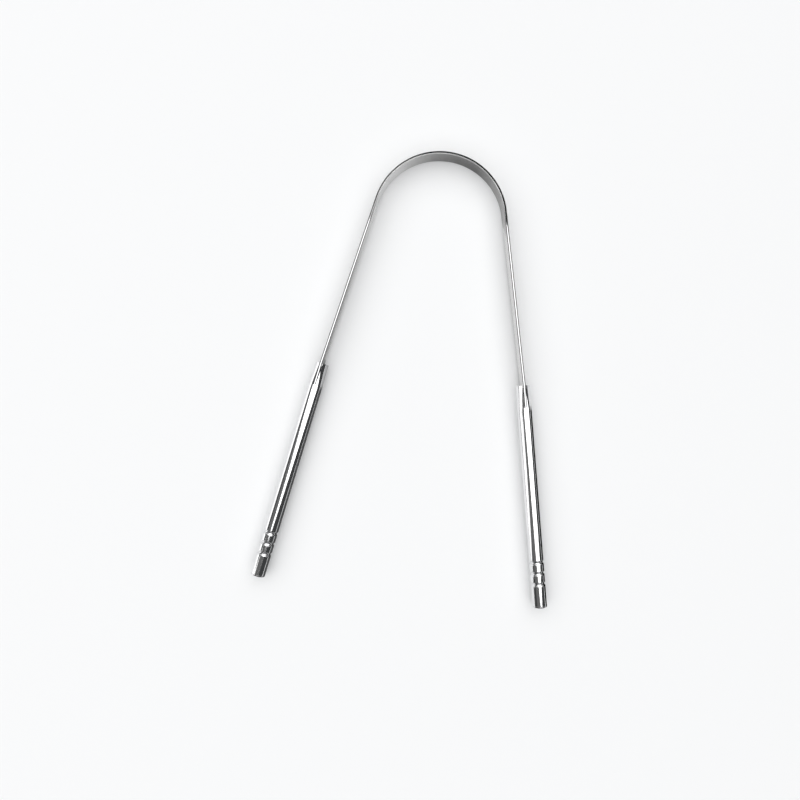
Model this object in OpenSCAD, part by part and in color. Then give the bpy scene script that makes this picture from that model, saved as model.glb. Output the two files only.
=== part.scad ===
// Tongue scraper: a springy steel strip bent into a U and standing on its edge,
// with a slotted steel tube pressed onto each end of it as a handle.
// It lies flat: +Z up, +Y from the handle ends to the bow, X across.
// The origin is under the middle of the whole object, on the surface it lies on.

/* [Blade] */
// Width of the strip, which is its height while it lies flat
blade_w = 7; // [5.5:0.1:8.5]
// Thickness of the strip
blade_t = 0.8; // [0.4:0.05:1]
// Outer radius of the bow
bow_r = 21.9; // [16:0.1:28]
// Angle between each straight arm and the middle line
arm_splay = 12.3; // [8:0.1:18]
// Length of each straight arm, from the bow to the mouth of its handle
arm_len = 56.8; // [35:0.1:75]

/* [Handles] */
// Length of each handle, from its mouth to the face of its end cap
handle_len = 72.4; // [50:0.1:100]
// Angle between each handle and the middle line
handle_splay = 10.6; // [6:0.1:16]
// Outer diameter of the handle tube
tube_d = 4.7; // [4.2:0.1:5.4]
// Wall of the handle tube
tube_wall = 0.45; // [0.3:0.05:0.6]

/* [Pressed end] */
// Length of the slotted end that is pressed onto the strip
press_len = 7.3; // [4:0.1:12]
// Height of the pressed walls, across the strip
press_h = 5.2; // [4.8:0.05:5.8]
// How far each pressed wall stands off the strip
press_bulge = 1.6; // [1.2:0.05:1.9]
// Length of the shoulder from the pressed end to the round tube
shoulder_len = 1.5; // [0.8:0.1:3]
// Gap between the end of the strip and the end of its slot
slot_end_gap = 0.1; // [0.05:0.05:0.4]

/* [Grooves] */
// Number of ring grooves near the free end
groove_count = 3; // [1:1:6]
// Distance from one groove to the next
groove_pitch = 3.5; // [2.5:0.1:5]
// Distance from the last groove to the end of the handle
groove_tail = 7.7; // [5:0.1:12]
// Radius of the roller that pressed the grooves
groove_r = 0.6; // [0.4:0.05:0.9]
// Depth of each groove
groove_depth = 0.35; // [0.15:0.05:0.4]

/* [End caps] */
// Thickness of the cap's flange, outside the tube
cap_t = 0.6; // [0.4:0.05:1.2]
// Rounding of the flange's edge
cap_round = 0.3; // [0.1:0.05:0.35]
// Rise of the cap's low dome
cap_dome = 0.25; // [0.1:0.05:0.6]
// Length of the plug that sits inside the tube
plug_len = 3; // [1.5:0.1:4.5]
// Clearance between the plug and the bore
plug_fit = 0.02; // [0.01:0.01:0.05]

/* [Flexing] */
// Gap between each end of the bow and the rounded end of its arm
flex_gap = 0.05; // [0.03:0.01:0.2]

/* [Hidden] */
// Length by which a cut runs past what it cuts
overrun = 0.5;
// Thickness of the slices that a shoulder is stretched between
slice = 0.01;
// Sides of a true circle, and of the circles that a shoulder is stretched between
round_sides = 96;
shoulder_sides = 48;
// Flats that round the end of an arm
arm_end_steps = 12;

tube_r = tube_d / 2;
bore_r = tube_r - tube_wall;
tube_len = handle_len - cap_t;
mid_z = blade_w / 2;
half_t = blade_t / 2;

// A direction in the plane of the U, by its angle from +X
function way(angle) = [cos(angle), sin(angle)];

// Directions that the right arm and the right handle run in, away from the bow, and their right sides
arm_side = way(arm_splay);
arm_way = way(arm_splay - 90);
handle_side = way(handle_splay);
handle_way = way(handle_splay - 90);

// The right flex axis, the mouth of the right handle and its end, before the part is centred
flex_raw = (bow_r - half_t) * arm_side;
mouth_raw = flex_raw + arm_len * arm_way;
end_raw = mouth_raw + handle_len * handle_way;

// The lowest point along Y is on the rounded edge of the end cap
edge_raw = end_raw - cap_round * handle_way - (tube_r - cap_round) * handle_side;
low_y = min(edge_raw[1], (end_raw + (tube_r - cap_round) * handle_side)[1]) - cap_round;
centre_y = (bow_r + low_y) / 2;

// The same places in the part's own frame
bow_centre = [0, -centre_y];
flex_at = flex_raw + bow_centre;
mouth_at = mouth_raw + bow_centre;

// Angle by which the bow stops short, so that the arm's rounded end has room to turn,
// and the angle from the crown to each end of the bow
trim_angle = (half_t + flex_gap) / (bow_r - half_t) * 180 / PI;
bow_half_angle = 90 - arm_splay - trim_angle;

// Radius of a pressed wall, from its height and its bulge, and how far its centre is off the strip
press_r = (press_h * press_h / 4 + press_bulge * press_bulge) / (2 * press_bulge);
press_centre = half_t + press_bulge - press_r;

// Radius of the low dome on a cap, from its width and its rise
dome_half = tube_r - cap_round;
dome_r = (dome_half * dome_half + cap_dome * cap_dome) / (2 * cap_dome);

// The curved middle of the strip
module blade_bow() {
    color("silver")
        translate([bow_centre[0], bow_centre[1], 0])
            rotate([0, 0, 90 - bow_half_angle])
                rotate_extrude(angle = 2 * bow_half_angle, $fn = round_sides)
                    translate([bow_r - blade_t, 0]) square([blade_t, blade_w]);
}

// One straight arm of the strip and the shank that sits in the slot of its handle.
// Its top is rounded about the flex axis, and it has a slight bend at the handle's mouth.
module blade_arm() {
    bend = (handle_splay - arm_splay) / 2;
    bend_side = way(arm_splay + bend) / cos(bend);
    tip = mouth_at + (press_len - slot_end_gap) * handle_way;
    linear_extrude(blade_w)
        polygon([
            for (i = [0 : arm_end_steps]) flex_at + half_t * way(arm_splay + 180 * i / arm_end_steps),
            mouth_at - half_t * bend_side,
            tip - half_t * handle_side,
            tip + half_t * handle_side,
            mouth_at + half_t * bend_side,
        ]);
}

module blade_arm_right() {
    color("silver") blade_arm();
}

module blade_arm_left() {
    color("silver") mirror([1, 0, 0]) blade_arm();
}

// Puts a handle piece, made along +Z from the handle's mouth, onto the right side
module on_right_handle() {
    translate([mouth_at[0], mouth_at[1], mid_z])
        rotate([0, 0, handle_splay])
            rotate([90, 0, 0])
                children();
}

// The outline of one pressed wall, beside the strip
module pressed_wall_outline() {
    intersection() {
        difference() {
            translate([press_centre, 0]) circle(press_r, $fn = round_sides);
            translate([press_centre, 0]) circle(press_r - tube_wall, $fn = round_sides);
        }
        translate([half_t, -press_h / 2]) square([press_bulge + overrun, press_h]);
    }
}

// The two pressed walls, with the slot open above and below between them
module pressed_walls() {
    for (side = [0, 1])
        mirror([side, 0, 0])
            linear_extrude(press_len) pressed_wall_outline();
}

// Half of the almond shape that a pressed wall of the given radius bounds
module almond_half(r) {
    intersection() {
        translate([press_centre, 0]) circle(r, $fn = shoulder_sides);
        translate([half_t, -press_h / 2]) square([press_bulge + overrun, press_h]);
    }
}

// A solid that turns from the almond shape into a circle
module shoulder_form(wall_r, round_r, past) {
    hull() {
        translate([0, 0, press_len - past])
            linear_extrude(slice + past)
                for (side = [0, 1]) mirror([side, 0, 0]) almond_half(wall_r);
        translate([0, 0, press_len + shoulder_len - slice])
            cylinder(h = slice + past, r = round_r, $fn = shoulder_sides);
    }
}

module shoulder() {
    difference() {
        shoulder_form(press_r, tube_r, 0);
        shoulder_form(press_r - tube_wall, bore_r, overrun);
    }
}

// A ring of round section about the tube's axis
module ring(middle_r, section_r) {
    rotate_extrude($fn = round_sides)
        translate([middle_r, 0]) circle(section_r, $fn = round_sides);
}

// The round tube with its rolled grooves: each one is pressed in, so it shows inside as a bead
module grooved_tube() {
    start = press_len + shoulder_len;
    roller_at = tube_r + groove_r - groove_depth;
    difference() {
        union() {
            translate([0, 0, start])
                difference() {
                    cylinder(h = tube_len - start, r = tube_r, $fn = round_sides);
                    translate([0, 0, -overrun])
                        cylinder(h = tube_len - start + 2 * overrun, r = bore_r, $fn = round_sides);
                }
            intersection() {
                for (i = [0 : groove_count - 1])
                    translate([0, 0, groove_z(i)]) ring(roller_at, groove_r + tube_wall);
                translate([0, 0, start]) cylinder(h = tube_len - start, r = tube_r, $fn = round_sides);
            }
        }
        for (i = [0 : groove_count - 1])
            translate([0, 0, groove_z(i)]) ring(roller_at, groove_r);
    }
}

// Distance of a groove from the handle's mouth, counted from the free end
function groove_z(i) = handle_len - groove_tail - i * groove_pitch;

module handle_tube() {
    pressed_walls();
    shoulder();
    grooved_tube();
}

module handle_tube_right() {
    color("lightgray") on_right_handle() handle_tube();
}

module handle_tube_left() {
    color("lightgray") mirror([1, 0, 0]) on_right_handle() handle_tube();
}

// The cap that closes the free end: a plug, a rounded flange and a low dome
module end_cap() {
    translate([0, 0, tube_len])
        rotate_extrude($fn = round_sides) {
            translate([0, -plug_len]) square([bore_r - plug_fit, plug_len]);
            square([tube_r, cap_t - cap_round]);
            square([dome_half, cap_t]);
            translate([dome_half, cap_t - cap_round])
                intersection() {
                    circle(cap_round, $fn = round_sides);
                    square(cap_round);
                }
            intersection() {
                translate([0, cap_t + cap_dome - dome_r]) circle(dome_r, $fn = round_sides);
                translate([0, cap_t - cap_round]) square([dome_half, cap_round + cap_dome]);
            }
        }
}

module end_cap_right() {
    color("gray") on_right_handle() end_cap();
}

module end_cap_left() {
    color("gray") mirror([1, 0, 0]) on_right_handle() end_cap();
}

blade_bow();
blade_arm_right();
blade_arm_left();
handle_tube_right();
handle_tube_left();
end_cap_right();
end_cap_left();
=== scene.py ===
"""Looks of a springy steel tongue scraper that lies flat on a pale table.

The strip is drawn as two halves that meet at the top of the bow and bend smoothly into the arms.
Each handle is a slotted tube, pressed onto the end of the strip, with rolled grooves and an end cap.
Sizes are in millimetres, as the maker would give them, and meshes are written in metres.
"""

import logging
import math
from dataclasses import dataclass
from enum import Enum
from typing import Sequence

import bpy
from mathutils import Euler, Matrix, Vector


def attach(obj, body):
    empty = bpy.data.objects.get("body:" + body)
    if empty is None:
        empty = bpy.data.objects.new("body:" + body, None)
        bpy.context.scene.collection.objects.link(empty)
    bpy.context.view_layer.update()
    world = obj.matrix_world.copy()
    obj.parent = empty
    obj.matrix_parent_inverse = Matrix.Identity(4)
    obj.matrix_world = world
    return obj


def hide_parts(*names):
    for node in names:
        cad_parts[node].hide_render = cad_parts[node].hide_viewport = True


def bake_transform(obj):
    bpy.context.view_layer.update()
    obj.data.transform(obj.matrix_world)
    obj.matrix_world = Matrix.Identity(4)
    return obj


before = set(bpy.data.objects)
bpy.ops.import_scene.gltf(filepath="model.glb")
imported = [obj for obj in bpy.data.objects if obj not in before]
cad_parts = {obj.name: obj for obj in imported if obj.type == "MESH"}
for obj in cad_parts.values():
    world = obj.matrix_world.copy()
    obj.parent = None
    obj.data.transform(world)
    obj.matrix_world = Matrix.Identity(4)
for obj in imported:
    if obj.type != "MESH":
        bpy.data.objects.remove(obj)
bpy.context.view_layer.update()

MM = 0.001
TURN = 2 * math.pi
WHOLE = (0.0, 1.0)
TINY = 1e-6
BLACK = (0.0, 0.0, 0.0, 1.0)
WHITE = (1.0, 1.0, 1.0, 1.0)
RAYS = {"camera", "diffuse", "glossy", "transmission", "volume_scatter", "shadow"}

# The mask of the strip's flat edges, between those of its faces and its corners, which are painted near
# black as a dark reflection
EDGE_MASK = 0.5

log = logging.getLogger("scraper")

Place = tuple[float, float]
Outline = list[Place]
Colour = tuple[float, float, float]
Spot = tuple[float, float, float]
Socket = bpy.types.NodeSocket
Material = bpy.types.Material
Object = bpy.types.Object


class Side(Enum):
    """The two sides of the scraper, by the body that each one moves with."""

    RIGHT = "right_side"
    LEFT = "left_side"

    @property
    def sign(self) -> int:
        """+1 on the right, where X is positive, and -1 on the left."""
        return 1 if self is Side.RIGHT else -1

    @property
    def word(self) -> str:
        """The side's name as the pieces' names use it."""
        return self.name.lower()


class Plane(Enum):
    """The planes on which the bright panels lie, by which of across, up and away X, Y and Z are."""

    ABOVE = (0, 1, 2)
    SIDE = (2, 0, 1)
    BEHIND = (0, 2, 1)

    def point(self, *place: float) -> Spot:
        """The scene's point that is so far across and up the plane, and away from the origin."""
        return tuple(place[axis] for axis in self.value)


class SeenBy(Enum):
    """The only rays that see a piece of the stage."""

    CAMERA = "camera"
    STEEL = "glossy"

    def limit(self, made: Object) -> None:
        """Hides a piece of the stage from all other rays."""
        for ray in RAYS - {self.value}:
            setattr(made, f"visible_{ray}", False)


def unit(angle: float) -> Vector:
    """The flat direction at an angle in radians from +X."""
    return Vector((math.cos(angle), math.sin(angle)))


def smooth(share: float) -> float:
    """A share from 0 to 1, eased at both ends."""
    held = min(max(share, 0.0), 1.0)
    return held * held * (3 - 2 * held)


def spread(start: float, end: float, step: float) -> list[float]:
    """Evenly spaced values from start to end.

    Args:
        start: The first value.
        end: The last value.
        step: The largest distance between two values.

    Returns:
        The values, with both ends in.
    """
    count = max(1, math.ceil(abs(end - start) / step))
    return [start + (end - start) * i / count for i in range(count + 1)]


def surface(name: str, points: list[Spot], faces: list[tuple[int, ...]], material: Material) -> Object:
    """Makes a plain object for the stage.

    Args:
        name: Its name.
        points: Its points, in metres.
        faces: The numbers of each face's points.
        material: Its finish.

    Returns:
        The object.
    """
    mesh = bpy.data.meshes.new(name)
    mesh.from_pydata(points, [], faces)
    mesh.materials.append(material)
    made = bpy.data.objects.new(name, mesh)
    bpy.context.scene.collection.objects.link(made)
    return made


def fill(node: bpy.types.Node, **values: float | tuple[float, ...]) -> None:
    """Sets a node's sockets, by their names with underscores for spaces."""
    for name, value in values.items():
        node.inputs[name.replace("_", " ")].default_value = value


class Form:
    """Points and faces of one piece, in millimetres, with a flat map in millimetres too."""

    def __init__(self, name: str) -> None:
        """Starts an empty form.

        Args:
            name: The name that the finished piece gets.
        """
        self.name = name
        self.points: list[Vector] = []
        self.faces: list[tuple[int, ...]] = []
        self.maps: list[tuple[Place, ...]] = []
        self.masks: list[float] = []

    def point(self, place: Vector, mask: float = 0.0) -> int:
        """Adds a point.

        Args:
            place: Where it is.
            mask: How far it lies in a groove or on an edge, or how much painted dark or painted shade it
                carries, from 0 to 1.

        Returns:
            Its number.
        """
        self.points.append(place)
        self.masks.append(mask)
        return len(self.points) - 1

    def face(self, corners: Sequence[int], places: Sequence[Place], flipped: bool = False) -> None:
        """Adds a face.

        Args:
            corners: The numbers of its points, anticlockwise from outside.
            places: Where each corner lies on the flat map.
            flipped: Whether the face looks the other way.
        """
        step = -1 if flipped else 1
        self.faces.append(tuple(corners[::step]))
        self.maps.append(tuple(places[::step]))

    def piece(self, placing: Matrix, mirrored: bool, sharp_degrees: float) -> Object:
        """Makes the Blender object.

        Args:
            placing: The matrix that puts the form in the scraper's frame, in millimetres.
            mirrored: Whether the form is then mirrored to the left side.
            sharp_degrees: The angle between faces past which an edge is drawn sharp.

        Returns:
            The object, in metres, with its map and its mask.
        """
        flip = Matrix.Diagonal((-1, 1, 1, 1)) if mirrored else Matrix.Identity(4)
        whole = Matrix.Scale(MM, 4) @ flip @ placing
        step = -1 if mirrored else 1
        faces = [face[::step] for face in self.faces]
        mesh = bpy.data.meshes.new(self.name)
        mesh.from_pydata([whole @ point for point in self.points], [], faces)
        flat = [value for places in self.maps for place in places[::step] for value in place]
        mesh.uv_layers.new(name="flat_map").data.foreach_set("uv", flat)
        mesh.attributes.new("groove_edge_and_painted_shade_mask", "FLOAT", "POINT").data.foreach_set("value", self.masks)
        mesh.polygons.foreach_set("use_smooth", [True] * len(faces))
        mesh.set_sharp_from_angle(angle=math.radians(sharp_degrees))
        mesh.validate()
        mesh.update()
        made = bpy.data.objects.new(self.name, mesh)
        bpy.context.scene.collection.objects.link(made)
        return made


@dataclass(frozen=True)
class Grain:
    """Noise on a flat map: its cycles for each millimetre, its finer layers and how strong they are."""

    along: float
    across: float
    layers: float
    harshness: float = 0.55


@dataclass(frozen=True)
class Effect:
    """What a grain does to a finish: the span of its values that shows, and what that span becomes."""

    grain: Grain
    shown: Place
    becomes: Place


class Graph:
    """A material's nodes, added and joined by short calls."""

    def __init__(self, name: str) -> None:
        """Starts a material with one principled shader.

        Args:
            name: The material's name.
        """
        self.material = bpy.data.materials.new(name)
        self.material.use_nodes = True
        self.tree = self.material.node_tree
        self.shader = self.tree.nodes["Principled BSDF"]
        self.noises: dict[Grain, Socket] = {}

    def add(self, kind: str, **settings: object) -> bpy.types.Node:
        """Adds a node.

        Args:
            kind: The node's type, without the words ShaderNode in front.
            **settings: Its properties, by name.

        Returns:
            The node.
        """
        node = self.tree.nodes.new("ShaderNode" + kind)
        for name, value in settings.items():
            setattr(node, name, value)
        return node

    def join(self, source: Socket, target: Socket) -> None:
        """Links one socket to another."""
        self.tree.links.new(source, target)

    def flat_map(self, along: float, across: float) -> Socket:
        """The piece's flat map, stretched.

        Args:
            along: Cycles for each millimetre of the first direction.
            across: Cycles for each millimetre of the second direction.

        Returns:
            The stretched places.
        """
        source = self.add("UVMap", uv_map="flat_map")
        mapping = self.add("Mapping")
        fill(mapping, Scale=(along, across, 1.0))
        self.join(source.outputs["UV"], mapping.inputs["Vector"])
        return mapping.outputs["Vector"]

    def noise(self, grain: Grain) -> Socket:
        """The noise of a grain, which is made once for a material.

        Args:
            grain: The grain.

        Returns:
            A value from 0 to 1.
        """
        if grain not in self.noises:
            node = self.add("TexNoise")
            fill(node, Scale=1.0, Detail=grain.layers, Roughness=grain.harshness)
            self.join(self.flat_map(grain.along, grain.across), node.inputs["Vector"])
            self.noises[grain] = node.outputs["Fac"]
        return self.noises[grain]

    def span(self, value: Socket, source: Place, target: Place) -> Socket:
        """Maps one span of values onto another, held at both ends.

        Args:
            value: The value to map.
            source: The span that it is taken from.
            target: The span that it is mapped onto.

        Returns:
            The mapped value.
        """
        node = self.add("MapRange")
        fill(node, From_Min=source[0], From_Max=source[1], To_Min=target[0], To_Max=target[1])
        self.join(value, node.inputs["Value"])
        return node.outputs["Result"]

    def fold(self, operation: str, *values: Socket) -> Socket:
        """Joins several values by one operation.

        Args:
            operation: The operation's name, such as ADD or MULTIPLY.
            *values: The values, in order.

        Returns:
            The value that is left.
        """
        total = values[0]
        for value in values[1:]:
            node = self.add("Math", operation=operation)
            self.join(total, node.inputs[0])
            self.join(value, node.inputs[1])
            total = node.outputs[0]
        return total

    def total(self, effects: tuple[Effect, ...], *others: Socket) -> Socket:
        """Adds up what effects and other values come to."""
        values = [self.span(self.noise(effect.grain), effect.shown, effect.becomes) for effect in effects]
        return self.fold("ADD", *values, *others)

    def mix(self, share: Socket, first: Colour | Socket, second: Colour) -> Socket:
        """Mixes two colours.

        Args:
            share: How much of the second colour there is.
            first: The first colour, or a socket that gives it.
            second: The second colour.

        Returns:
            The mixed colour.
        """
        node = self.add("Mix", data_type="RGBA")
        self.join(share, node.inputs["Factor"])
        if isinstance(first, Socket):
            self.join(first, node.inputs[6])
        else:
            node.inputs[6].default_value = (*first, 1.0)
        node.inputs[7].default_value = (*second, 1.0)
        return node.outputs[2]

    def mask(self) -> Socket:
        """How far a point lies in a groove or on an edge, or how much painted dark or painted shade it
        carries.
        """
        return self.add("Attribute", attribute_name="groove_edge_and_painted_shade_mask").outputs["Fac"]

    def bump(self, height: Socket, depth_mm: float, strength: float) -> None:
        """Bumps the shader's surface.

        Args:
            height: The height, from 0 to 1.
            depth_mm: How deep a height of 1 is.
            strength: How strongly it shows.
        """
        node = self.add("Bump")
        fill(node, Strength=strength, Distance=depth_mm * MM)
        self.join(height, node.inputs["Height"])
        self.join(node.outputs["Normal"], self.shader.inputs["Normal"])


COARSE_LINES = Grain(1.6, 0.12, 3.0)
FINE_LINES = Grain(9.0, 0.24, 4.0, 0.7)
PATCHES = Grain(0.08, 0.1, 2.0)
POLISH = Grain(7.0, 0.25, 4.0, 0.65)
SMEARS = Grain(0.25, 0.09, 3.0)
SCRATCHES = Grain(2.2, 0.5, 5.0, 0.8)
RINGS = Grain(0.06, 9.0, 3.0, 0.6)
MARKS = Grain(1.1, 1.7, 5.0, 0.75)


@dataclass(frozen=True)
class StripFinish:
    """Spring steel, brushed across its width, with smooth edges, corners painted near black as a painted
    dark reflection, and painted shade on the faces in a handle's slot.
    """

    face: Colour = (0.86, 0.855, 0.85)
    light_line: Colour = (0.92, 0.915, 0.91)
    edge: Colour = (0.54, 0.54, 0.545)
    painted_dark_corner: Colour = (0.03, 0.03, 0.032)
    lightness: Effect = Effect(COARSE_LINES, (0.35, 0.65), WHOLE)
    face_roughness: tuple[Effect, ...] = (
        Effect(FINE_LINES, (0.3, 0.7), (0.1, 0.2)), Effect(PATCHES, (0.35, 0.65), (-0.02, 0.04)),
    )
    roughness: Effect = Effect(FINE_LINES, (0.3, 0.7), (0.025, 0.055))
    relief: tuple[Effect, ...] = (
        Effect(COARSE_LINES, WHOLE, (0.0, 0.6)), Effect(FINE_LINES, WHOLE, (0.0, 0.4)),
    )
    relief_depth: float = 0.006
    relief_strength: float = 0.35

    def material(self) -> Material:
        """Makes the material.

        Returns:
            The strip's material.
        """
        graph = Graph("brushed_strip")
        fill(graph.shader, Metallic=1.0)
        mask = graph.mask()
        edge = graph.span(mask, (0.0, EDGE_MASK), WHOLE)
        # The corners are painted near black, a painted dark reflection
        painted_dark_corner = graph.span(mask, (EDGE_MASK, 1.0), WHOLE)
        face = graph.span(edge, WHOLE, (1.0, 0.0))
        colour = graph.mix(graph.total((self.lightness,)), self.face, self.light_line)
        # In a slot, the faces take part of the edge colour as painted shade
        colour = graph.mix(painted_dark_corner, graph.mix(edge, colour, self.edge), self.painted_dark_corner)
        graph.join(colour, graph.shader.inputs["Base Color"])
        face_rough = graph.fold("MULTIPLY", face, graph.total(self.face_roughness))
        graph.join(graph.total((self.roughness,), face_rough), graph.shader.inputs["Roughness"])
        height = graph.fold("MULTIPLY", face, graph.total(self.relief))
        graph.bump(height, self.relief_depth, self.relief_strength)
        return graph.material


@dataclass(frozen=True)
class TubeFinish:
    """Polished tube, with fine polishing lines along it, faint scratches, and grooves a little darker and
    rougher.
    """

    steel: Colour = (0.84, 0.84, 0.845)
    shade: Colour = (0.74, 0.74, 0.75)
    groove: Colour = (0.76, 0.76, 0.77)
    shading: Effect = Effect(SMEARS, (0.4, 0.75), WHOLE)
    roughness: tuple[Effect, ...] = (
        Effect(POLISH, (0.3, 0.75), (0.05, 0.11)), Effect(SMEARS, (0.45, 0.7), (0.0, 0.05)),
    )
    groove_roughness: Place = (0.0, 0.02)
    relief: tuple[Effect, ...] = (
        Effect(POLISH, WHOLE, (0.0, 0.5)), Effect(SCRATCHES, (0.62, 0.7), (0.0, -0.3)),
    )
    relief_depth: float = 0.003
    relief_strength: float = 0.12

    def material(self) -> Material:
        """Makes the material.

        Returns:
            The tubes' material.
        """
        graph = Graph("polished_tube")
        fill(graph.shader, Metallic=1.0)
        groove = graph.mask()
        colour = graph.mix(graph.total((self.shading,)), self.steel, self.shade)
        graph.join(graph.mix(groove, colour, self.groove), graph.shader.inputs["Base Color"])
        groove_rough = graph.span(groove, WHOLE, self.groove_roughness)
        graph.join(graph.total(self.roughness, groove_rough), graph.shader.inputs["Roughness"])
        graph.bump(graph.total(self.relief), self.relief_depth, self.relief_strength)
        return graph.material


@dataclass(frozen=True)
class CapFinish:
    """Turned steel, with fine rings from the lathe about its middle and a few handling marks."""

    steel: Colour = (0.76, 0.76, 0.77)
    ring: Colour = (0.64, 0.64, 0.65)
    shading: Effect = Effect(RINGS, (0.4, 0.65), WHOLE)
    roughness: tuple[Effect, ...] = (
        Effect(RINGS, (0.35, 0.7), (0.14, 0.22)), Effect(MARKS, (0.5, 0.75), (0.0, 0.08)),
    )
    relief: tuple[Effect, ...] = (
        Effect(RINGS, WHOLE, (0.0, 0.6)), Effect(MARKS, (0.64, 0.72), (0.0, -0.4)),
    )
    relief_depth: float = 0.004
    relief_strength: float = 0.35

    def material(self) -> Material:
        """Makes the material.

        Returns:
            The caps' material.
        """
        graph = Graph("turned_cap")
        fill(graph.shader, Metallic=1.0)
        colour = graph.mix(graph.total((self.shading,)), self.steel, self.ring)
        graph.join(colour, graph.shader.inputs["Base Color"])
        graph.join(graph.total(self.roughness), graph.shader.inputs["Roughness"])
        graph.bump(graph.total(self.relief), self.relief_depth, self.relief_strength)
        return graph.material


@dataclass(frozen=True)
class TableFinish:
    """A plain pale table top with a very slight unevenness."""

    colour: Colour = (0.9, 0.905, 0.91)
    roughness: float = 0.55
    grain_scale: float = 900.0
    grain_depth: float = 0.02
    grain_strength: float = 0.05

    def material(self) -> Material:
        """Makes the material.

        Returns:
            The table's material.
        """
        graph = Graph("pale_table")
        colour = (*self.colour, 1.0)
        fill(graph.shader, Base_Color=colour, Roughness=self.roughness, Specular_IOR_Level=0.0)
        grain = graph.add("TexNoise")
        fill(grain, Scale=self.grain_scale)
        place = graph.add("TexCoord")
        graph.join(place.outputs["Object"], grain.inputs["Vector"])
        graph.bump(grain.outputs["Fac"], self.grain_depth, self.grain_strength)
        return graph.material


@dataclass(frozen=True)
class GlowFinish:
    """A plain white light that mirrors nothing."""

    name: str
    strength: float

    def material(self) -> Material:
        """Makes the material.

        Returns:
            The glowing material.
        """
        graph = Graph(self.name)
        fill(graph.shader, Base_Color=BLACK, Specular_IOR_Level=0.0)
        fill(graph.shader, Emission_Color=WHITE, Emission_Strength=self.strength)
        return graph.material


@dataclass(frozen=True)
class Station:
    """One place along the strip: its middle, its outer side and how far along it is.

    The arm share is 0 on the bow and 1 on the arm, and the slot share is how much painted shade darkens
    the faces in a slot.
    """

    middle: Vector
    outward: Vector
    run: float
    arm_share: float = 0.0
    slot_painted_shade: float = 0.0


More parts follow.
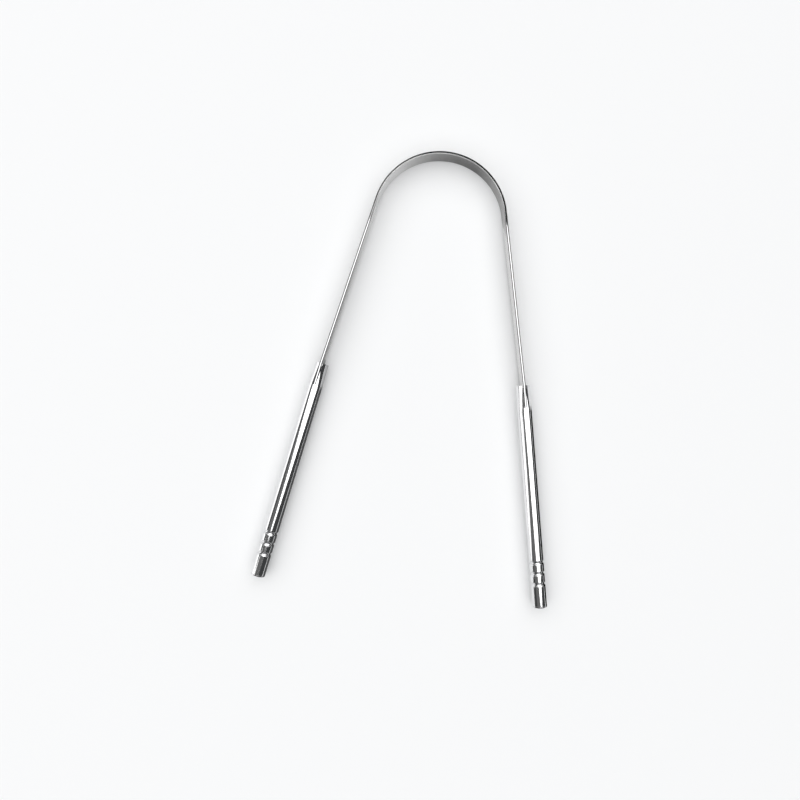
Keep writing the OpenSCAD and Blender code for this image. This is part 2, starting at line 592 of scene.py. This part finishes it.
@dataclass
class Strip:
    """The springy strip: a bow, two straight arms and a shank in the slot of each handle."""

    width: float = 7.0
    thickness: float = 0.8
    bow_radius: float = 21.9
    bow_centre_y: float = 50.281
    arm_splay: float = 12.3
    arm_length: float = 56.8
    handle_splay: float = 10.6
    shank_length: float = 7.2
    outer_round: float = 0.24
    inner_round: float = 0.17
    inner_drop: float = 0.4
    # The corners are painted near black as a painted dark reflection, fading this far onto the top and
    # bottom edges
    painted_dark_mask: float = 1.0
    bow_painted_dark_reach: float = 0.33
    arm_painted_dark_reach: float = 0.1
    bow_inner_mask: float = 0.25
    arm_shift: float = 14.0
    # Painted shade on the faces inside a handle's slot: its strength, and how far in from the mouth it
    # grows to it
    slot_painted_shade_mask: float = 0.2
    slot_shade_reach: float = 2.0
    edge_hold: float = 0.012
    edge_fade: float = 0.2
    edge_steps: int = 6
    seam_step: float = 0.02
    bow_step: float = 0.35
    arm_step: float = 0.8
    bend_reach: float = 0.6
    blend_reach: float = 12.0
    sharp_angle: float = 40.0

    @property
    def middle_radius(self) -> float:
        """Radius of the bow along the middle of the strip's thickness."""
        return self.bow_radius - self.thickness / 2

    @property
    def flex(self) -> Vector:
        """Where the right end of the bow meets the right arm."""
        return Vector((0, self.bow_centre_y)) + self.middle_radius * unit(math.radians(self.arm_splay))

    @property
    def arm_way(self) -> Vector:
        """The direction of the right arm, away from the bow."""
        return unit(math.radians(self.arm_splay - 90))

    @property
    def handle_way(self) -> Vector:
        """The direction of the right handle, away from its mouth."""
        return unit(math.radians(self.handle_splay - 90))

    @property
    def mouth(self) -> Vector:
        """Where the right arm enters its handle."""
        return self.flex + self.arm_length * self.arm_way

    @property
    def handle_placing(self) -> Matrix:
        """What lays the right handle along the end of the right arm, in millimetres."""
        turn = Matrix.Rotation(math.radians(self.handle_splay), 4, "Z") @ Matrix.Rotation(TURN / 4, 4, "X")
        return Matrix.Translation((*self.mouth, self.width / 2)) @ turn

    def stations(self) -> list[Station]:
        """Finds the places along the right half.

        Returns:
            The places, from the top of the bow to the end of the shank.
        """
        found: list[Station] = []
        centre = Vector((0, self.bow_centre_y))
        bow_length = self.middle_radius * math.radians(90 - self.arm_splay)
        for run in [0.0, *spread(self.seam_step, bow_length, self.bow_step)]:
            outward = unit(math.pi / 2 - run / self.middle_radius)
            share = smooth((run - bow_length) / self.arm_shift + 0.5)
            found.append(Station(centre + self.middle_radius * outward, outward, run, share))
        outward = unit(math.radians(self.arm_splay))
        for along in spread(0.0, self.arm_length - self.bend_reach, self.arm_step)[1:]:
            share = smooth(along / self.arm_shift + 0.5)
            found.append(Station(self.flex + along * self.arm_way, outward, bow_length + along, share))
        mouth_run = bow_length + self.arm_length
        middle_splay = math.radians((self.arm_splay + self.handle_splay) / 2)
        found.append(Station(self.mouth, unit(middle_splay), mouth_run, 1.0))
        outward = unit(math.radians(self.handle_splay))
        for along in spread(self.bend_reach, self.shank_length, self.arm_step):
            # Painted shade on the faces in the slot, growing in from the mouth
            shade = self.slot_painted_shade_mask * smooth(along / self.slot_shade_reach)
            place = self.mouth + along * self.handle_way
            found.append(Station(place, outward, mouth_run + along, 1.0, shade))
        return found

    def section(self, arm_share: float = 0.0, slot_painted_shade: float = 0.0) -> list[Spot]:
        """The strip's section: four rounded corners, with the points of a flat after each one.

        Args:
            arm_share: 0 on the bow, where only the outer corners are painted dark, and 1 on an arm, where
                all are.
            slot_painted_shade: How much painted shade darkens the faces, which it does in the slot of a
                handle.

        Returns:
            How far out, how high, and how much of an edge each point is.
        """
        half, hold, fade = self.thickness / 2, self.edge_hold, self.edge_fade
        low, high = 0.0, self.width
        outer, inner, drop = self.outer_round, self.inner_round, self.inner_drop
        # Painted dark reflection: on the outer corners everywhere, and on the inner ones only on the arms
        far = self.painted_dark_mask
        near = self.bow_inner_mask + (far - self.bow_inner_mask) * arm_share
        past_bow = smooth(2 * arm_share - 1)
        reach = hold + self.bow_painted_dark_reach + (self.arm_painted_dark_reach - self.bow_painted_dark_reach) * past_bow
        outer_face = [
            (half, low + outer + hold, far), (half, low + outer + fade, slot_painted_shade),
            (half, high - outer - fade, slot_painted_shade), (half, high - outer - hold, far),
        ]
        inner_face = [
            (-half, high - drop - hold, near), (-half, high - drop - fade, slot_painted_shade),
            (-half, low + drop + fade, slot_painted_shade), (-half, low + drop + hold, near),
        ]
        start, end = half - outer - reach, inner - half + hold
        top = [(start, high, EDGE_MASK), (end, high, EDGE_MASK)]
        bottom = [(end, low, EDGE_MASK), (start, low, EDGE_MASK)]
        found: list[Spot] = []
        for out, middle, angle, across, up, mask, flat in (
            (half - outer, low + outer, -90, outer, outer, far, outer_face),
            (half - outer, high - outer, 0, outer, outer, far, top),
            (inner - half, high - drop, 90, inner, drop, near, inner_face),
            (inner - half, low + drop, 180, inner, drop, near, bottom),
        ):
            for step in range(self.edge_steps + 1):
                turned = unit(math.radians(angle + 90 * step / self.edge_steps))
                found.append((out + turned.x * across, middle + turned.y * up, mask))
            found += flat
        return found

    def form(self, name: str) -> Form:
        """Makes one half of the strip, on the right.

        Args:
            name: The piece's name.

        Returns:
            The half, closed at the top of the bow and at the end of the shank.
        """
        form = Form(name)
        section = self.section()
        count = len(section)
        run_round = [0.0]
        for first, second in zip(section, section[1:] + section[:1]):
            run_round.append(run_round[-1] + math.dist(first[:2], second[:2]))
        stations = self.stations()
        for station in stations:
            for out, high, mask in self.section(station.arm_share, station.slot_painted_shade):
                flat = station.middle + station.outward * out
                form.point(Vector((flat.x, flat.y, high)), mask)
        for i in range(len(stations) - 1):
            near, far = stations[i].run, stations[i + 1].run
            for j in range(count):
                k = (j + 1) % count
                a, b, c, d = i * count + j, i * count + k, (i + 1) * count + k, (i + 1) * count + j
                low, high = run_round[j], run_round[j + 1]
                form.face((a, b, c, d), ((near, low), (near, high), (far, high), (far, low)))
        for start, flipped in ((0, True), ((len(stations) - 1) * count, False)):
            corners = [start + j for j in range(count)]
            form.face(corners, [point[:2] for point in section], flipped)
        return form

    def build(self, side: Side, finish: Material) -> Object:
        """Makes one half of the strip and bends it between the bow and its arm.

        Args:
            side: Which half.
            finish: The strip's material.

        Returns:
            The finished piece.
        """
        form = self.form(f"strip_{side.word}")
        made = form.piece(Matrix.Identity(4), side is Side.LEFT, self.sharp_angle)
        made.data.materials.append(finish)
        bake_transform(made)
        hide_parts("blade_bow", f"blade_arm_{side.word}")
        return made


@dataclass
class Handle:
    """A round tube, slotted and pressed onto the strip at its mouth, grooved near its closed end."""

    length: float = 72.4
    diameter: float = 4.7
    wall: float = 0.45
    press_length: float = 7.3
    press_height: float = 5.2
    press_bulge: float = 1.7
    slot_width: float = 0.8
    slot_flare: float = 0.3
    flare_taken: float = 0.6
    shoulder_length: float = 1.5
    groove_count: int = 3
    groove_pitch: float = 3.5
    groove_tail: float = 7.7
    groove_radius: float = 0.6
    groove_depth: float = 0.35
    groove_lip: float = 0.14
    groove_mask_gain: float = 1.4
    cap_thickness: float = 0.6
    cap_round: float = 0.3
    cap_dome: float = 0.25
    plug_length: float = 3.0
    plug_fit: float = 0.02
    press_step: float = 0.9
    shoulder_step: float = 0.12
    tube_step: float = 1.6
    groove_step: float = 0.06
    least_step: float = 0.02
    arc_steps: int = 44
    cap_steps: int = 8
    lathe_steps: int = 96
    sharp_angle: float = 34.0

    @property
    def radius(self) -> float:
        """Outer radius of the tube."""
        return self.diameter / 2

    @property
    def tube_length(self) -> float:
        """Length of the tube without its cap."""
        return self.length - self.cap_thickness

    def groove_places(self) -> list[float]:
        """How far each groove is from the mouth."""
        return [self.length - self.groove_tail - i * self.groove_pitch for i in range(self.groove_count)]

    def groove_sink(self, along: float) -> float:
        """How far the tube's wall is pressed in at a place along the handle.

        Args:
            along: The distance from the mouth.

        Returns:
            The depth, which is 0 away from the grooves.
        """
        near = min(abs(along - place) for place in self.groove_places())
        lift = self.groove_radius - self.groove_depth
        half = math.sqrt(self.groove_radius**2 - lift**2)
        if near >= half + self.groove_lip:
            return 0.0
        if near > half - self.groove_lip:
            share = (half + self.groove_lip - near) / (2 * self.groove_lip)
            inner = half - self.groove_lip
            slope_depth = math.sqrt(self.groove_radius**2 - inner**2) - lift
            return slope_depth * share * share
        return math.sqrt(self.groove_radius**2 - near**2) - lift

    def stops(self) -> list[float]:
        """Finds the places along the tube at which a ring of points is set.

        Returns:
            The distances from the mouth, close together where the tube changes.
        """
        shoulder_end = self.press_length + self.shoulder_length
        places = set(spread(0.0, self.press_length, self.press_step))
        places |= set(spread(self.press_length, shoulder_end, self.shoulder_step))
        places |= set(spread(shoulder_end, self.tube_length, self.tube_step))
        reach = self.groove_radius + 2 * self.groove_lip
        for place in self.groove_places():
            places |= set(spread(place - reach, place + reach, self.groove_step))
        kept: list[float] = []
        for place in sorted(places):
            if not kept or place - kept[-1] > self.least_step:
                kept.append(place)
        return kept

    def half_arc(self, along: float, inside: bool) -> Outline:
        """The right half of the tube's outline, from below to above.

        Args:
            along: The distance from the mouth.
            inside: Whether it is the bore's outline and not the outer one.

        Returns:
            Points across and up from the tube's axis.
        """
        drop = self.wall if inside else 0.0
        open_share = max(0.0, 1 - along / self.press_length)
        flare = self.slot_flare * open_share**2
        bulge, height = self.press_bulge - self.flare_taken * flare, self.press_height
        slot = self.slot_width / 2 + flare
        press_radius = (height * height / 4 + bulge * bulge) / (2 * bulge)
        press_middle = slot + bulge - press_radius
        reach = math.acos((slot - press_middle) / (press_radius - drop))
        round_radius = self.radius - drop
        closing = smooth((along - self.press_length) / self.shoulder_length)
        even_reach = math.pi / 2 * self.arc_steps / (self.arc_steps + 1)
        round_reach = math.acos(slot / round_radius) * (1 - closing) + even_reach * closing
        share = smooth(along / (self.press_length + self.shoulder_length))
        sink = self.groove_sink(along)
        found: Outline = []
        for step in range(self.arc_steps + 1):
            turn = 2 * step / self.arc_steps - 1
            pressed = Vector((press_middle, 0)) + unit(turn * reach) * (press_radius - drop)
            full = unit(turn * round_reach) * (round_radius - sink)
            place = pressed.lerp(full, share)
            found.append((place.x, place.y))
        return found

    def cap_profile(self) -> Outline:
        """Draws half of the end cap's profile.

        Returns:
            The radius and the height of each point, from the middle of the plug to the top of the dome.
        """
        plug = self.radius - self.wall - self.plug_fit
        flat = self.radius - self.cap_round
        chamfer = self.cap_round / 2
        brink = chamfer / 3
        found: Outline = [(0.0, -self.plug_length), (plug - chamfer, -self.plug_length)]
        found += [(plug, chamfer - self.plug_length), (plug, 0.0), (self.radius - brink, 0.0)]
        found += [(self.radius, brink)]
        for step in range(self.cap_steps + 1):
            turned = unit(math.radians(90 * step / self.cap_steps)) * self.cap_round
            found.append((flat + turned.x, self.cap_thickness - self.cap_round + turned.y))
        for step in range(1, self.cap_steps + 1):
            share = step / self.cap_steps
            found.append((flat * (1 - share), self.cap_thickness + self.cap_dome * (1 - (1 - share) ** 2)))
        return found

    def cap_form(self, name: str) -> Form:
        """Makes the cap, turned about +Z, with its plug inside the tube and its flange on the tube's end.

        Args:
            name: The piece's name.

        Returns:
            The cap.
        """
        form = Form(name)
        profile = self.cap_profile()
        count = self.lathe_steps
        rings: list[list[int]] = []
        for radius, height in profile:
            ways = [unit(TURN * step / count) for step in range(count if radius > TINY else 1)]
            high = self.tube_length + height
            rings.append([form.point(Vector((*(way * radius), high))) for way in ways])
        run = [0.0]
        for first, second in zip(profile, profile[1:]):
            run.append(run[-1] + math.dist(first, second))
        for i in range(len(rings) - 1):
            low, high = rings[i], rings[i + 1]
            near, far = run[i], run[i + 1]
            for j in range(count):
                k = (j + 1) % count
                left, right = (TURN * self.radius * step / count for step in (j, j + 1))
                if len(low) == 1:
                    form.face((low[0], high[k], high[j]), ((left, near), (right, far), (left, far)))
                elif len(high) == 1:
                    form.face((low[j], low[k], high[0]), ((left, near), (right, near), (left, far)))
                else:
                    places = ((left, near), (right, near), (right, far), (left, far))
                    form.face((low[j], low[k], high[k], high[j]), places)
        return form

    def build(self, side: Side, strip: Strip, tube_finish: Material, cap_finish: Material) -> list[Object]:
        """Makes one handle's tube and its cap, and lets them move with their side.

        Args:
            side: Which handle.
            strip: The strip that it is pressed onto.
            tube_finish: The tube's material.
            cap_finish: The cap's material.

        Returns:
            The tube and the cap.
        """
        made = []
        for form, node, finish, slot in (
            (TubeForm(f"tube_{side.word}", self), f"handle_tube_{side.word}", tube_finish, "tube_steel"),
            (self.cap_form(f"cap_{side.word}"), f"end_cap_{side.word}", cap_finish, "cap_steel"),
        ):
            piece = form.piece(strip.handle_placing, side is Side.LEFT, self.sharp_angle)
            piece.data.materials.append(finish)
            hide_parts(node)
            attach(piece, side.value)
            made.append(piece)
        return made


class TubeForm(Form):
    """A handle's tube, along +Z from its mouth, with its wall, its slot and its grooves."""

    def __init__(self, name: str, handle: Handle) -> None:
        """Adds all points and faces.

        Args:
            name: The name that the finished piece gets.
            handle: The handle, which has the sizes.
        """
        super().__init__(name)
        self.handle = handle
        self.stops = handle.stops()
        self.slotted = max(i for i, along in enumerate(self.stops) if along <= handle.press_length + TINY)
        self.half = handle.arc_steps + 1
        self.count = 2 * self.half
        self.bridges = (self.half - 1, self.count - 1)
        self.step_round = TURN * handle.radius / self.count
        self.outer, self.inner = (self.rings(inside) for inside in (False, True))
        self.add_wall(self.outer, False)
        self.add_wall(self.inner, True)
        self.add_slot_edges()
        self.add_rims()

    def rings(self, inside: bool) -> list[list[int]]:
        """Adds the rings of points of one side of the wall.

        Args:
            inside: Whether it is the bore's side.

        Returns:
            The numbers of each ring's points, the right half before the left one.
        """
        rings: list[list[int]] = []
        for along in self.stops:
            arc = self.handle.half_arc(along, inside)
            sunk = self.handle.groove_sink(along) / self.handle.groove_depth
            mask = smooth(self.handle.groove_mask_gain * sunk)
            right = [self.point(Vector((x, y, along)), mask) for x, y in arc]
            left = [self.point(Vector((-x, -y, along)), mask) for x, y in arc]
            rings.append(right + left)
        return rings

    def add_wall(self, rings: list[list[int]], inside: bool) -> None:
        """Adds the faces between the rings, and leaves the slot open.

        Args:
            rings: The rings of one side of the wall.
            inside: Whether it is the bore's side.
        """
        for i in range(len(rings) - 1):
            near, far = self.stops[i], self.stops[i + 1]
            for j in range(self.count):
                if j in self.bridges and i < self.slotted:
                    continue
                k = (j + 1) % self.count
                corners = (rings[i][j], rings[i][k], rings[i + 1][k], rings[i + 1][j])
                low, high = j * self.step_round, (j + 1) * self.step_round
                self.face(corners, ((low, near), (high, near), (high, far), (low, far)), inside)

    def add_slot_edges(self) -> None:
        """Adds the cut edges along both sides of the slot and at its end."""
        outer, inner, last = self.outer, self.inner, self.slotted
        wall, width = self.handle.wall, self.handle.slot_width
        for i in range(last):
            near, far = self.stops[i], self.stops[i + 1]
            for j in (0, self.half - 1, self.half, self.count - 1):
                corners = (outer[i][j], outer[i + 1][j], inner[i + 1][j], inner[i][j])
                self.face(corners, ((0, near), (0, far), (wall, far), (wall, near)), j in self.bridges)
        for j in self.bridges:
            k = (j + 1) % self.count
            corners = (outer[last][k], outer[last][j], inner[last][j], inner[last][k])
            self.face(corners, ((0, 0), (width, 0), (width, wall), (0, wall)))

    def add_rims(self) -> None:
        """Adds the cut ends of the wall."""
        outer, inner, wall = self.outer, self.inner, self.handle.wall
        places = ((0, 0), (self.step_round, 0), (self.step_round, wall), (0, wall))
        for i, flipped in ((0, False), (len(outer) - 1, True)):
            for j in range(self.count):
                if i == 0 and j in self.bridges:
                    continue
                k = (j + 1) % self.count
                self.face((outer[i][k], outer[i][j], inner[i][j], inner[i][k]), places, flipped)


@dataclass(frozen=True)
class Softbox:
    """A soft light that faces down: where it hangs, its size in metres and its brightness."""

    name: str
    place: Spot
    size: float
    radiance: float

    def build(self) -> None:
        """Hangs the light, which the steel doesn't mirror."""
        data = bpy.data.lights.new(self.name, "AREA")
        data.size = self.size
        data.energy = self.radiance * math.pi * self.size**2
        made = bpy.data.objects.new(self.name, data)
        made.location = self.place
        made.visible_glossy = False
        bpy.context.scene.collection.objects.link(made)


@dataclass(frozen=True)
class Panel:
    """A bright panel that only the steel mirrors.

    Its outline lies on one of the planes, and is in metres once it is multiplied by its scale.
    """

    name: str
    plane: Plane
    distance: float
    radiance: float
    outline: tuple[Place, ...]
    scale: float = 1.0

    def build(self) -> None:
        """Hangs the panel, or stands it beside or behind the table."""
        corners = [(self.scale * across, self.scale * up) for across, up in self.outline]
        points = [self.plane.point(across, up, self.distance) for across, up in corners]
        material = GlowFinish(self.name, self.radiance).material()
        made = surface(self.name, points, [tuple(range(len(points)))], material)
        SeenBy.STEEL.limit(made)


@dataclass(frozen=True)
class ShadeCard:
    """A dark card on the table that only the steel mirrors, with edges that fade.

    Each row runs from the piece that it shades to the card's far side, in millimetres, and has a darkness.
    """

    name: str
    rows: tuple[tuple[Vector, Vector, float], ...]
    fade_from: float
    lift: float = 0.05
    sharp_angle: float = 30.0

    def material(self) -> Material:
        """Makes a black finish as dark as each row says, that fades away from the shaded piece.

        Returns:
            The card's material.
        """
        graph = Graph(self.name)
        fill(graph.shader, Base_Color=BLACK, Specular_IOR_Level=0.0)
        split = graph.add("SeparateXYZ")
        graph.join(graph.flat_map(1.0, 1.0), split.inputs["Vector"])
        fading = graph.span(split.outputs["Y"], (self.fade_from, 1.0), (1.0, 0.0))
        graph.join(graph.fold("MULTIPLY", graph.mask(), fading), graph.shader.inputs["Alpha"])
        return graph.material

    def build(self) -> None:
        """Lays the card on the table."""
        form = Form(self.name)
        last = len(self.rows) - 1
        for near, far, darkness in self.rows:
            for place in (near, far):
                form.point(Vector((place.x, place.y, self.lift)), darkness)
        for i in range(last):
            corners = (2 * i, 2 * i + 1, 2 * i + 3, 2 * i + 2)
            places = ((i / last, 0.0), (i / last, 1.0), ((i + 1) / last, 1.0), ((i + 1) / last, 0.0))
            form.face(corners, places)
        made = form.piece(Matrix.Identity(4), False, self.sharp_angle)
        made.data.materials.append(self.material())
        SeenBy.STEEL.limit(made)


@dataclass(frozen=True)
class SideShade:
    """How dark the table looks beside one side of the scraper, at each place along it."""

    side: Side
    reach: float
    shades: tuple[float, ...]


FILL = Softbox("fill", (-1.2, 0.4, 2.0), 7.0, 1.32)
OVERHEAD = Panel(
    "overhead", Plane.ABOVE, 1.5, 2.6,
    (
        (-0.72, 0.12), (-0.5, 0.0), (-0.3, -0.06), (-0.15, -0.13), (-0.08, -0.2), (-0.05, -0.26),
        (-0.01, -0.31), (0.04, -0.3), (0.15, -0.33), (0.35, -0.33), (0.7, -0.29), (1.1, -0.2),
        (1.4, -0.1), (1.75, 0.24), (1.2, 0.32), (0.4, 0.336), (0.1, 0.336), (0.0, 0.32), (-0.3, 0.32),
    ),
    1.5,
)
HAZE = Panel(
    "haze", Plane.ABOVE, 1.6, 0.15,
    ((-1.05, 0.15), (-1.0, -0.2), (-0.45, -0.24), (0.0, -0.24), (0.05, 0.15)), 1.6,
)
BOW_LIGHT = Panel(
    "bow_light", Plane.ABOVE, 1.6, 1.0,
    ((-0.3, 0.3), (-0.012, 0.3), (-0.012, 0.43), (-0.04, 0.47), (-0.3, 0.47)), 1.6,
)
NEAR_HAZE = Panel(
    "near_haze", Plane.ABOVE, 1.6, 0.15, ((-1.8, -0.385), (-1.8, -1.1), (0.5, -1.1), (0.5, -0.385))
)
LOW_LEFT = Panel(
    "low_left", Plane.SIDE, -1.6, 1.5,
    (
        (0.5, 0.0), (0.3, 0.8), (0.05, 0.75), (-0.25, 0.62), (-0.34, 1.0), (-0.4, 2.0), (-0.55, 1.95),
        (-0.62, 1.55), (-0.75, 1.05), (-0.89, 0.0),
    ),
)
BEHIND = Panel("behind", Plane.BEHIND, 1.6, 1.8, ((-0.25, 0.2), (1.5, 0.2), (1.5, 2.5), (-0.25, 2.5)))
BEHIND_LEFT = Panel(
    "behind_left", Plane.BEHIND, 1.6, 0.8, ((-1.2, 0.2), (-0.25, 0.2), (-0.25, 2.2), (-1.2, 2.2))
)

# Angles round the bow in degrees from +X, and how dark the table looks inside it there
BOW_SHADE = (
    (-12, 0.05), (0, 0.3), (10, 0.42), (20, 0.46), (40, 0.56), (62, 0.77), (80, 0.745), (100, 0.62),
    (120, 0.33), (135, 0.12), (165, 0.08), (192, 0.0),
)


@dataclass
class Studio:
    """A pale table, soft light, dark cards that the steel mirrors, and the camera."""

    strip: Strip
    lens: float = 28.8
    sensor: float = 36.0
    clip_start: float = 0.01
    camera_place: Spot = (-4.72, -12.18, 213.672)
    camera_turn: Spot = (0.721, 0.362, 6.294)
    table_size: float = 6.0
    table_drop: float = 0.00002
    room_colour: Colour = (0.95, 0.98, 1.0)
    room_strength: float = 0.055
    wall_sides: int = 64
    wall_inset: float = 0.98
    wall_foot: float = -0.01
    wall_glow: float = 0.9
    lights: tuple[Softbox | Panel, ...] = (
        FILL, OVERHEAD, HAZE, BOW_LIGHT, NEAR_HAZE, LOW_LEFT, BEHIND, BEHIND_LEFT,
    )
    bow_card_reach: float = 7.0
    bow_card_fade: float = 0.45
    bow_card_step: float = 4.0
    side_shades: tuple[SideShade, ...] = (
        SideShade(Side.LEFT, 45.0, (0.0, 0.2, 0.45, 0.55, 0.5, 0.5, 0.9, 0.9)),
        SideShade(Side.RIGHT, 60.0, (0.0, 0.3, 0.4, 0.4, 0.1, 0.1, 1.0, 1.0)),
    )
    side_card_places: tuple[float, ...] = (-56.8, -45.0, -28.0, -2.0, 0.0, 6.5, 8.5, 80.0)
    side_card_fade: float = 0.8
    arm_card_gap: float = 0.85

    def table(self) -> None:
        """Makes the pale table just under the scraper."""
        half, drop = self.table_size / 2, self.table_drop
        corners = [(x, y, -drop) for x, y in ((-half, -half), (half, -half), (half, half), (-half, half))]
        made = surface("table", corners, [(0, 1, 2, 3)], TableFinish().material())

    def world(self) -> None:
        """Surrounds the scene with the dim light of a room."""
        world = bpy.data.worlds.new("room")
        world.use_nodes = True
        background = world.node_tree.nodes["Background"]
        fill(background, Color=(*self.room_colour, 1.0), Strength=self.room_strength)
        bpy.context.scene.world = world
        bpy.context.scene.view_settings.view_transform = "Standard"

    def backdrop(self) -> None:
        """Closes the view above the table with a pale wall that only the camera sees."""
        sides = self.wall_sides
        reach = self.table_size / 2 * self.wall_inset
        heights = (self.wall_foot, self.table_size)
        points = [(*(unit(TURN * i / sides) * reach), z) for z in heights for i in range(sides)]
        faces = [(i, (i + 1) % sides, sides + (i + 1) % sides, sides + i) for i in range(sides)]
        made = surface("backdrop", points, faces, GlowFinish("pale_wall", self.wall_glow).material())
        SeenBy.CAMERA.limit(made)

    def bow_card(self) -> ShadeCard:
        """Cuts the card that darkens what the inner face of the bow mirrors.

        Returns:
            The card inside the bow.
        """
        centre = Vector((0, self.strip.bow_centre_y))
        inner = self.strip.bow_radius - self.strip.thickness
        rows = []
        for (first, dark_first), (second, dark_second) in zip(BOW_SHADE, BOW_SHADE[1:]):
            for angle in spread(first, second, self.bow_card_step)[:-1]:
                share = (angle - first) / (second - first)
                way = unit(math.radians(angle))
                near, far = (centre + way * radius for radius in (inner, inner - self.bow_card_reach))
                rows.append((near, far, dark_first + (dark_second - dark_first) * share))
        return ShadeCard("bow_card", tuple(rows), self.bow_card_fade)

    def side_card(self, shade: SideShade) -> ShadeCard:
        """Cuts the card that darkens what one arm and its handle mirror.

        Args:
            shade: The side, the card's reach and its darkness.

        Returns:
            The card, on the outer side of the arm and the handle.
        """
        strip, sign = self.strip, shade.side.sign
        side_way = unit(math.radians(strip.handle_splay))
        outwards = Vector((side_way.x, sign * side_way.y))
        rows = []
        for along, darkness in zip(self.side_card_places, shade.shades):
            near = strip.mouth + (strip.arm_way if along < 0 else strip.handle_way) * along
            near = Vector((sign * near.x, near.y)) + outwards * (self.arm_card_gap if along < 0 else 0.0)
            rows.append((near, near + outwards * shade.reach, darkness))
        return ShadeCard(f"{shade.side.word}_card", tuple(rows), self.side_card_fade)

    def camera(self) -> None:
        """Sets the camera at the photograph's place and angle."""
        data = bpy.data.cameras.new("camera")
        data.lens = self.lens
        data.sensor_width = self.sensor
        data.clip_start = self.clip_start
        made = bpy.data.objects.new("camera", data)
        made.location = Vector(self.camera_place) * MM
        made.rotation_euler = Euler([math.radians(angle) for angle in self.camera_turn])
        bpy.context.scene.collection.objects.link(made)
        bpy.context.scene.camera = made

    def build(self) -> None:
        """Makes the camera, the table, the lights and the shade cards."""
        self.camera()
        self.table()
        self.backdrop()
        self.world()
        for light in self.lights:
            light.build()
        self.bow_card().build()
        for shade in self.side_shades:
            self.side_card(shade).build()


def main() -> None:
    """Builds the studio, the strip and the handles, and reports each piece."""
    logging.basicConfig(level=logging.INFO, format="%(name)s: %(message)s")
    strip = Strip()
    Studio(strip).build()
    handle = Handle()
    strip_finish = StripFinish().material()
    tube_finish = TubeFinish().material()
    cap_finish = CapFinish().material()
    for side in Side:
        pieces = [strip.build(side, strip_finish), *handle.build(side, strip, tube_finish, cap_finish)]
        for piece in pieces:
            log.info("%s: %d faces", piece.name, len(piece.data.polygons))


if __name__ == "__main__":
    main()
